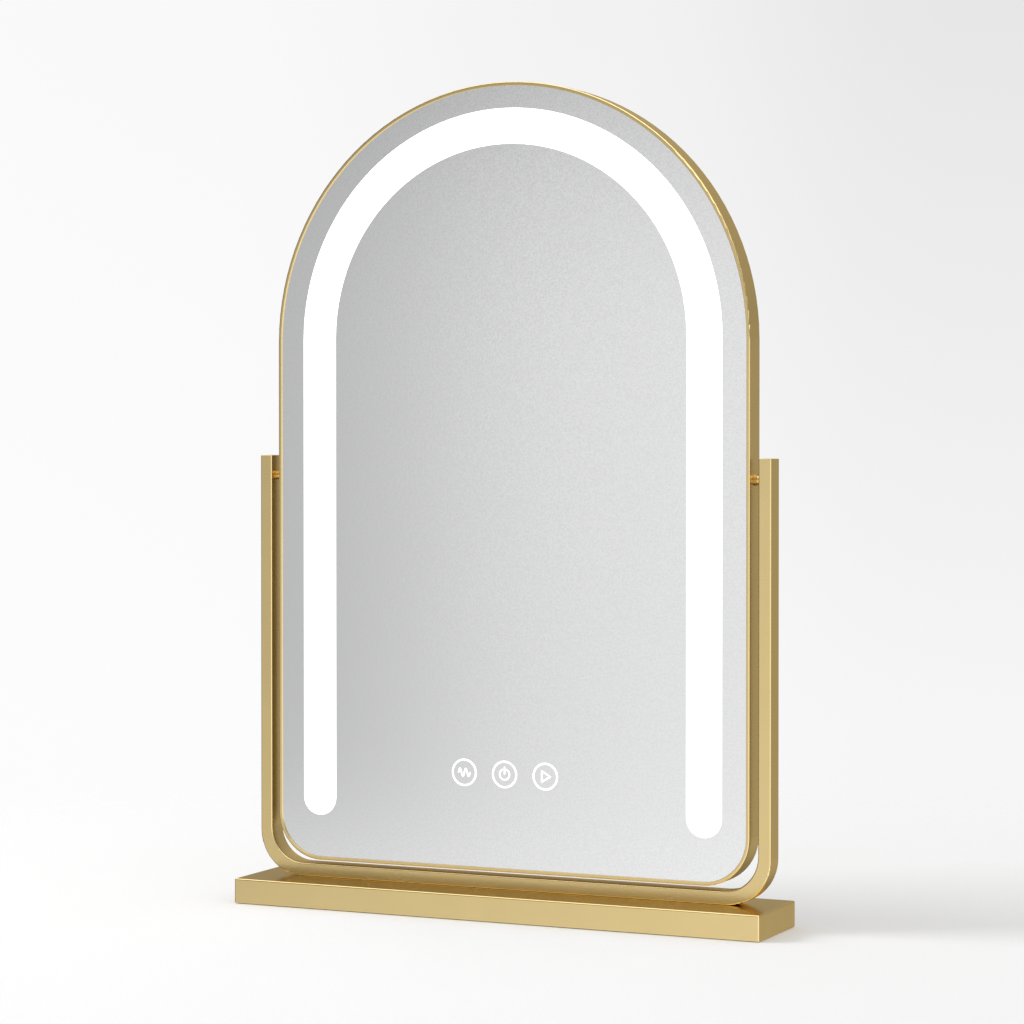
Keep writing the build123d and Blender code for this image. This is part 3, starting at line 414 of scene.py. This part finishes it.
# brightness of the backdrop as the camera sees it, by the same angle, low down and high up
BACKDROP_LOW = [
    (-180, 0.88), (-163, 0.92), (-155, 0.965), (-146, 0.98), (-140, 0.98), (150, 0.95), (180, 0.88),
]
BACKDROP_HIGH = [
    (-180, 0.74), (-163, 0.80), (-157, 0.89), (-150, 0.945), (-140, 0.965), (150, 0.93), (180, 0.74),
]
# the light overhead, by how steeply a direction goes up, from -1 for straight down to 1 for straight up
OVERHEAD = [(-1.0, 0.0), (0.58, 0.0), (0.72, 1.3), (0.85, 1.9), (1.0, 1.9)]

# where one of these gives way to the next, by the same steepness
TABLE_TO_WALLS = (-0.160, -0.120)
WALLS_TO_ROOM = (0.085, 0.17)
BACKDROP_RISE = (-0.10, 0.12)
# the walls get dimmer over this rise, down to this share
WALLS_DIMMING = (0.03, 0.10)
WALLS_DIMMED = 0.85
# the studio is warmer behind the mirror than in front, by how far back a direction goes
FRONT_TO_BACK = (-0.2, 0.2)
WARM = rgb(1.0, 0.95, 0.86)
# brightness of the studio as matt surfaces see it
AMBIENT = 0.81


def seen_in_metal(graph, angle, back, up):
    """The studio as metal and glass see it, in the direction given by its angle, back and up."""
    dimming = graph.span(up, 1.0, WALLS_DIMMED, *WALLS_DIMMING)
    walls = graph.vector_math("MULTIPLY", graph.ramp(angle, WALLS), dimming)
    below = graph.fade(up, *TABLE_TO_WALLS, graph.ramp(angle, TABLE), walls)
    around = graph.fade(up, *WALLS_TO_ROOM, below, graph.ramp(angle, ROOM))
    tint = graph.fade(back, *FRONT_TO_BACK, grey(1.0), WARM)
    return graph.vector_math("ADD", graph.vector_math("MULTIPLY", around, tint), graph.ramp(up, OVERHEAD))


def light_studio():
    """Gives the world its brightness: one for the camera, one for glossy reflections, one for the rest."""
    world = bpy.data.worlds.new("studio")
    world.use_nodes = True
    bpy.context.scene.world = world
    graph = Graph(world.node_tree, "Generated")
    right, back, up = graph.parts(graph.place)
    turn = graph.math("ARCTAN2", right, graph.math("MULTIPLY", back, -1.0))
    angle = graph.math("MULTIPLY", turn, 180 / math.pi)
    backdrop = graph.fade(
        up, *BACKDROP_RISE, graph.ramp(angle, BACKDROP_LOW), graph.ramp(angle, BACKDROP_HIGH)
    )
    rays = graph.node("ShaderNodeLightPath").outputs
    lit = graph.blend(rays["Is Glossy Ray"], grey(AMBIENT), seen_in_metal(graph, angle, back, up))
    shown = graph.blend(rays["Is Camera Ray"], lit, backdrop)
    graph.feed(graph.tree.nodes["Background"].inputs["Color"], shown)


def soft_box(name, place, aim, size, power):
    """A square area light that metal and glass don't mirror."""
    lamp = bpy.data.lights.new(name, "AREA")
    lamp.shape = "SQUARE"
    lamp.size = size
    lamp.energy = power
    box = bpy.data.objects.new(name, lamp)
    box.location = place
    box.rotation_mode = "QUATERNION"
    box.rotation_quaternion = (Vector(aim) - Vector(place)).to_track_quat("-Z", "Y")
    box.visible_glossy = False
    bpy.context.scene.collection.objects.link(box)


light_studio()
soft_box("key_light", place=(-3.0, -1.35, 1.95), aim=(0.0, 0.0, 0.05), size=1.8, power=72.0)


# ---------------------------------------------------------------- camera

# where the photograph was taken from: turned to the right and tilted down, with lengths in metres
VIEW_TURN = math.radians(24.63)
VIEW_TILT = math.radians(0.91)
VIEW_DISTANCE = 1.9737
VIEW_SIDEWAYS = 0.00225
VIEW_HEIGHT = 0.3186
# in millimetres
FOCAL_LENGTH = 111.363
SENSOR_WIDTH = 36.0
# in widths of the picture
FRAMING_SHIFT = -0.0557

across, ahead = math.sin(VIEW_TURN), math.cos(VIEW_TURN)
level, drop = math.cos(VIEW_TILT), math.sin(VIEW_TILT)

lens = bpy.data.cameras.new("camera")
lens.sensor_width = SENSOR_WIDTH
lens.lens = FOCAL_LENGTH
lens.shift_y = FRAMING_SHIFT
lens.clip_start = 0.05
lens.clip_end = 60.0
camera = bpy.data.objects.new("camera", lens)
camera.location = (
    across * VIEW_DISTANCE + ahead * VIEW_SIDEWAYS,
    -ahead * VIEW_DISTANCE + across * VIEW_SIDEWAYS,
    VIEW_HEIGHT,
)
camera.rotation_mode = "QUATERNION"
camera.rotation_quaternion = Vector((-across * level, ahead * level, -drop)).to_track_quat("-Z", "Y")
bpy.context.scene.collection.objects.link(camera)
bpy.context.scene.camera = camera
bpy.context.scene.view_settings.view_transform = "Standard"
